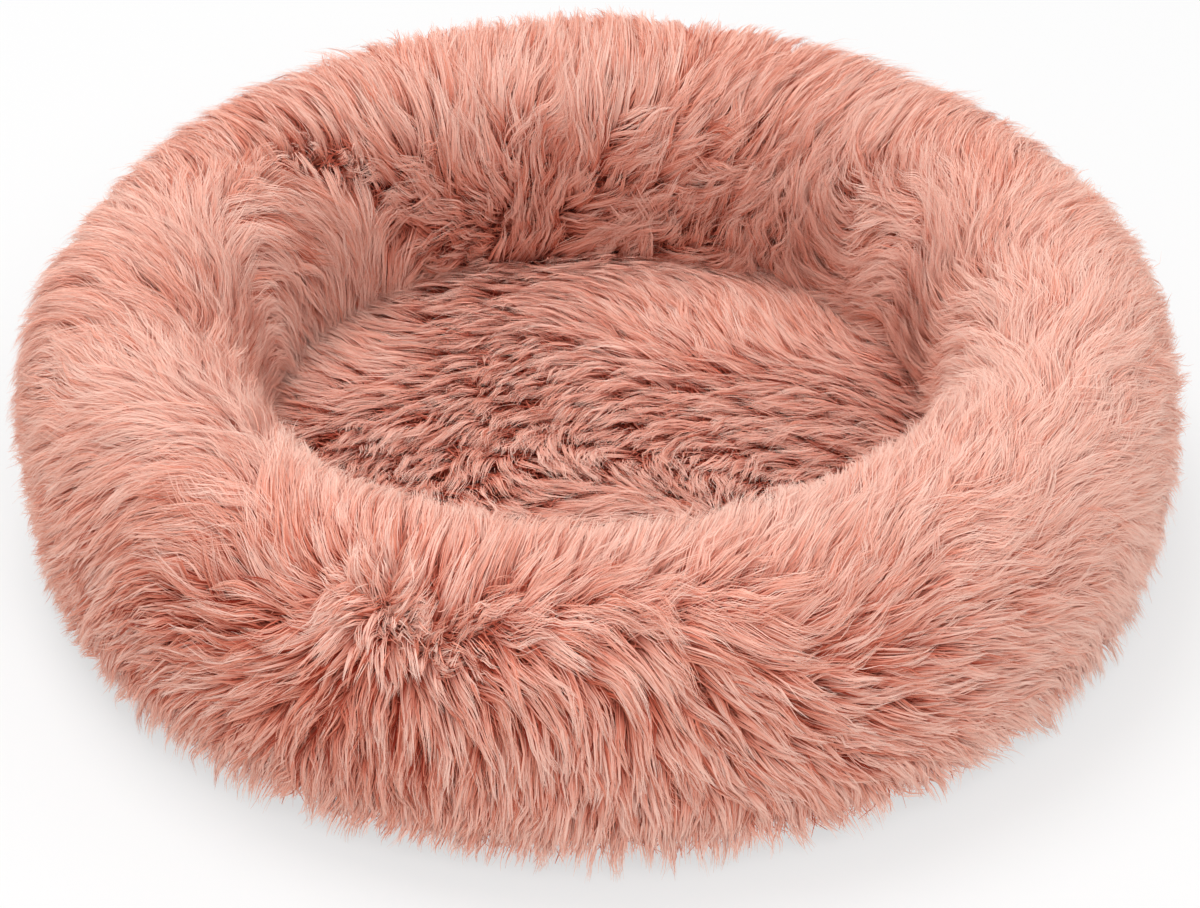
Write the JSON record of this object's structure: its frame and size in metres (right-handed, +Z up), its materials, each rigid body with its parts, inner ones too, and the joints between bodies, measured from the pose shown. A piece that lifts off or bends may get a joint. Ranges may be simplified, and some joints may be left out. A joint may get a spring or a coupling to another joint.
{
  "type": "donut pet bed",
  "caption": "Round pet bed: a stuffed ring in long-pile plush around a lower stuffed centre, on a woven cloth base that opens at a zip.",
  "frame": {"origin": "middle of the bed on the surface that it stands on", "axes": "+Z up, +X to the right as seen in the picture, -Y the bed's front"},
  "size_m": [0.49, 0.49, 0.1279],
  "materials": {
    "plush_pile": "long shag pile, dusty rose, paler at the tips",
    "base_cloth": "plain woven cloth with fine grip dots",
    "liner_cloth": "thin non-woven cloth",
    "fibre_fill": "loose polyester fibre",
    "sewing_thread": "spun polyester thread",
    "binding_tape": "woven tape",
    "zip_tape": "woven herringbone tape",
    "zip_coil": "satin nylon coil",
    "zip_metal": "polished nickel colour",
    "label_satin": "blank satin ribbon"
  },
  "bodies": {
    "bed": {"ring_cover_rear": "plush_pile", "ring_cover_front": "plush_pile", "centre_panel": "plush_pile", "cross_seam_left": "sewing_thread", "cross_seam_right": "sewing_thread", "inner_seam_thread": "sewing_thread", "base_seam_thread": "sewing_thread", "base_seam_binding": "binding_tape", "base_panel_front": "base_cloth", "base_panel_rear": "base_cloth", "base_end_seam_right": "sewing_thread", "base_end_seam_left": "sewing_thread", "ring_insert_liner": "liner_cloth", "ring_insert_filling": "fibre_fill", "ring_insert_closing_stitch": "sewing_thread", "cushion_insert_liner": "liner_cloth", "cushion_insert_filling": "fibre_fill", "cushion_insert_closing_stitch": "sewing_thread", "zip_tape_front": "zip_tape", "zip_tape_rear": "zip_tape", "zip_coil_front": "zip_coil", "zip_coil_rear": "zip_coil", "zip_top_stop_front": "zip_metal", "zip_top_stop_rear": "zip_metal", "zip_bottom_stop": "zip_metal", "zip_stitch_front": "sewing_thread", "zip_stitch_rear": "sewing_thread", "care_label": "label_satin"},
    "zip_slider": {"zip_slider": "zip_metal"},
    "zip_pull_tab": {"zip_pull_tab": "zip_metal"}
  },
  "joints": [
    {"name": "zip_travel", "type": "slide", "parent": "bed", "child": "zip_slider", "axis": [-1, 0, 0], "range_m": [0, 0.2466]},
    {"name": "zip_pull_swing", "type": "hinge", "parent": "zip_slider", "child": "zip_pull_tab", "pos_m": [0.1233, 0, 0.00405], "axis": [0, -1, 0], "range_deg": [0, 175]}
  ]
}
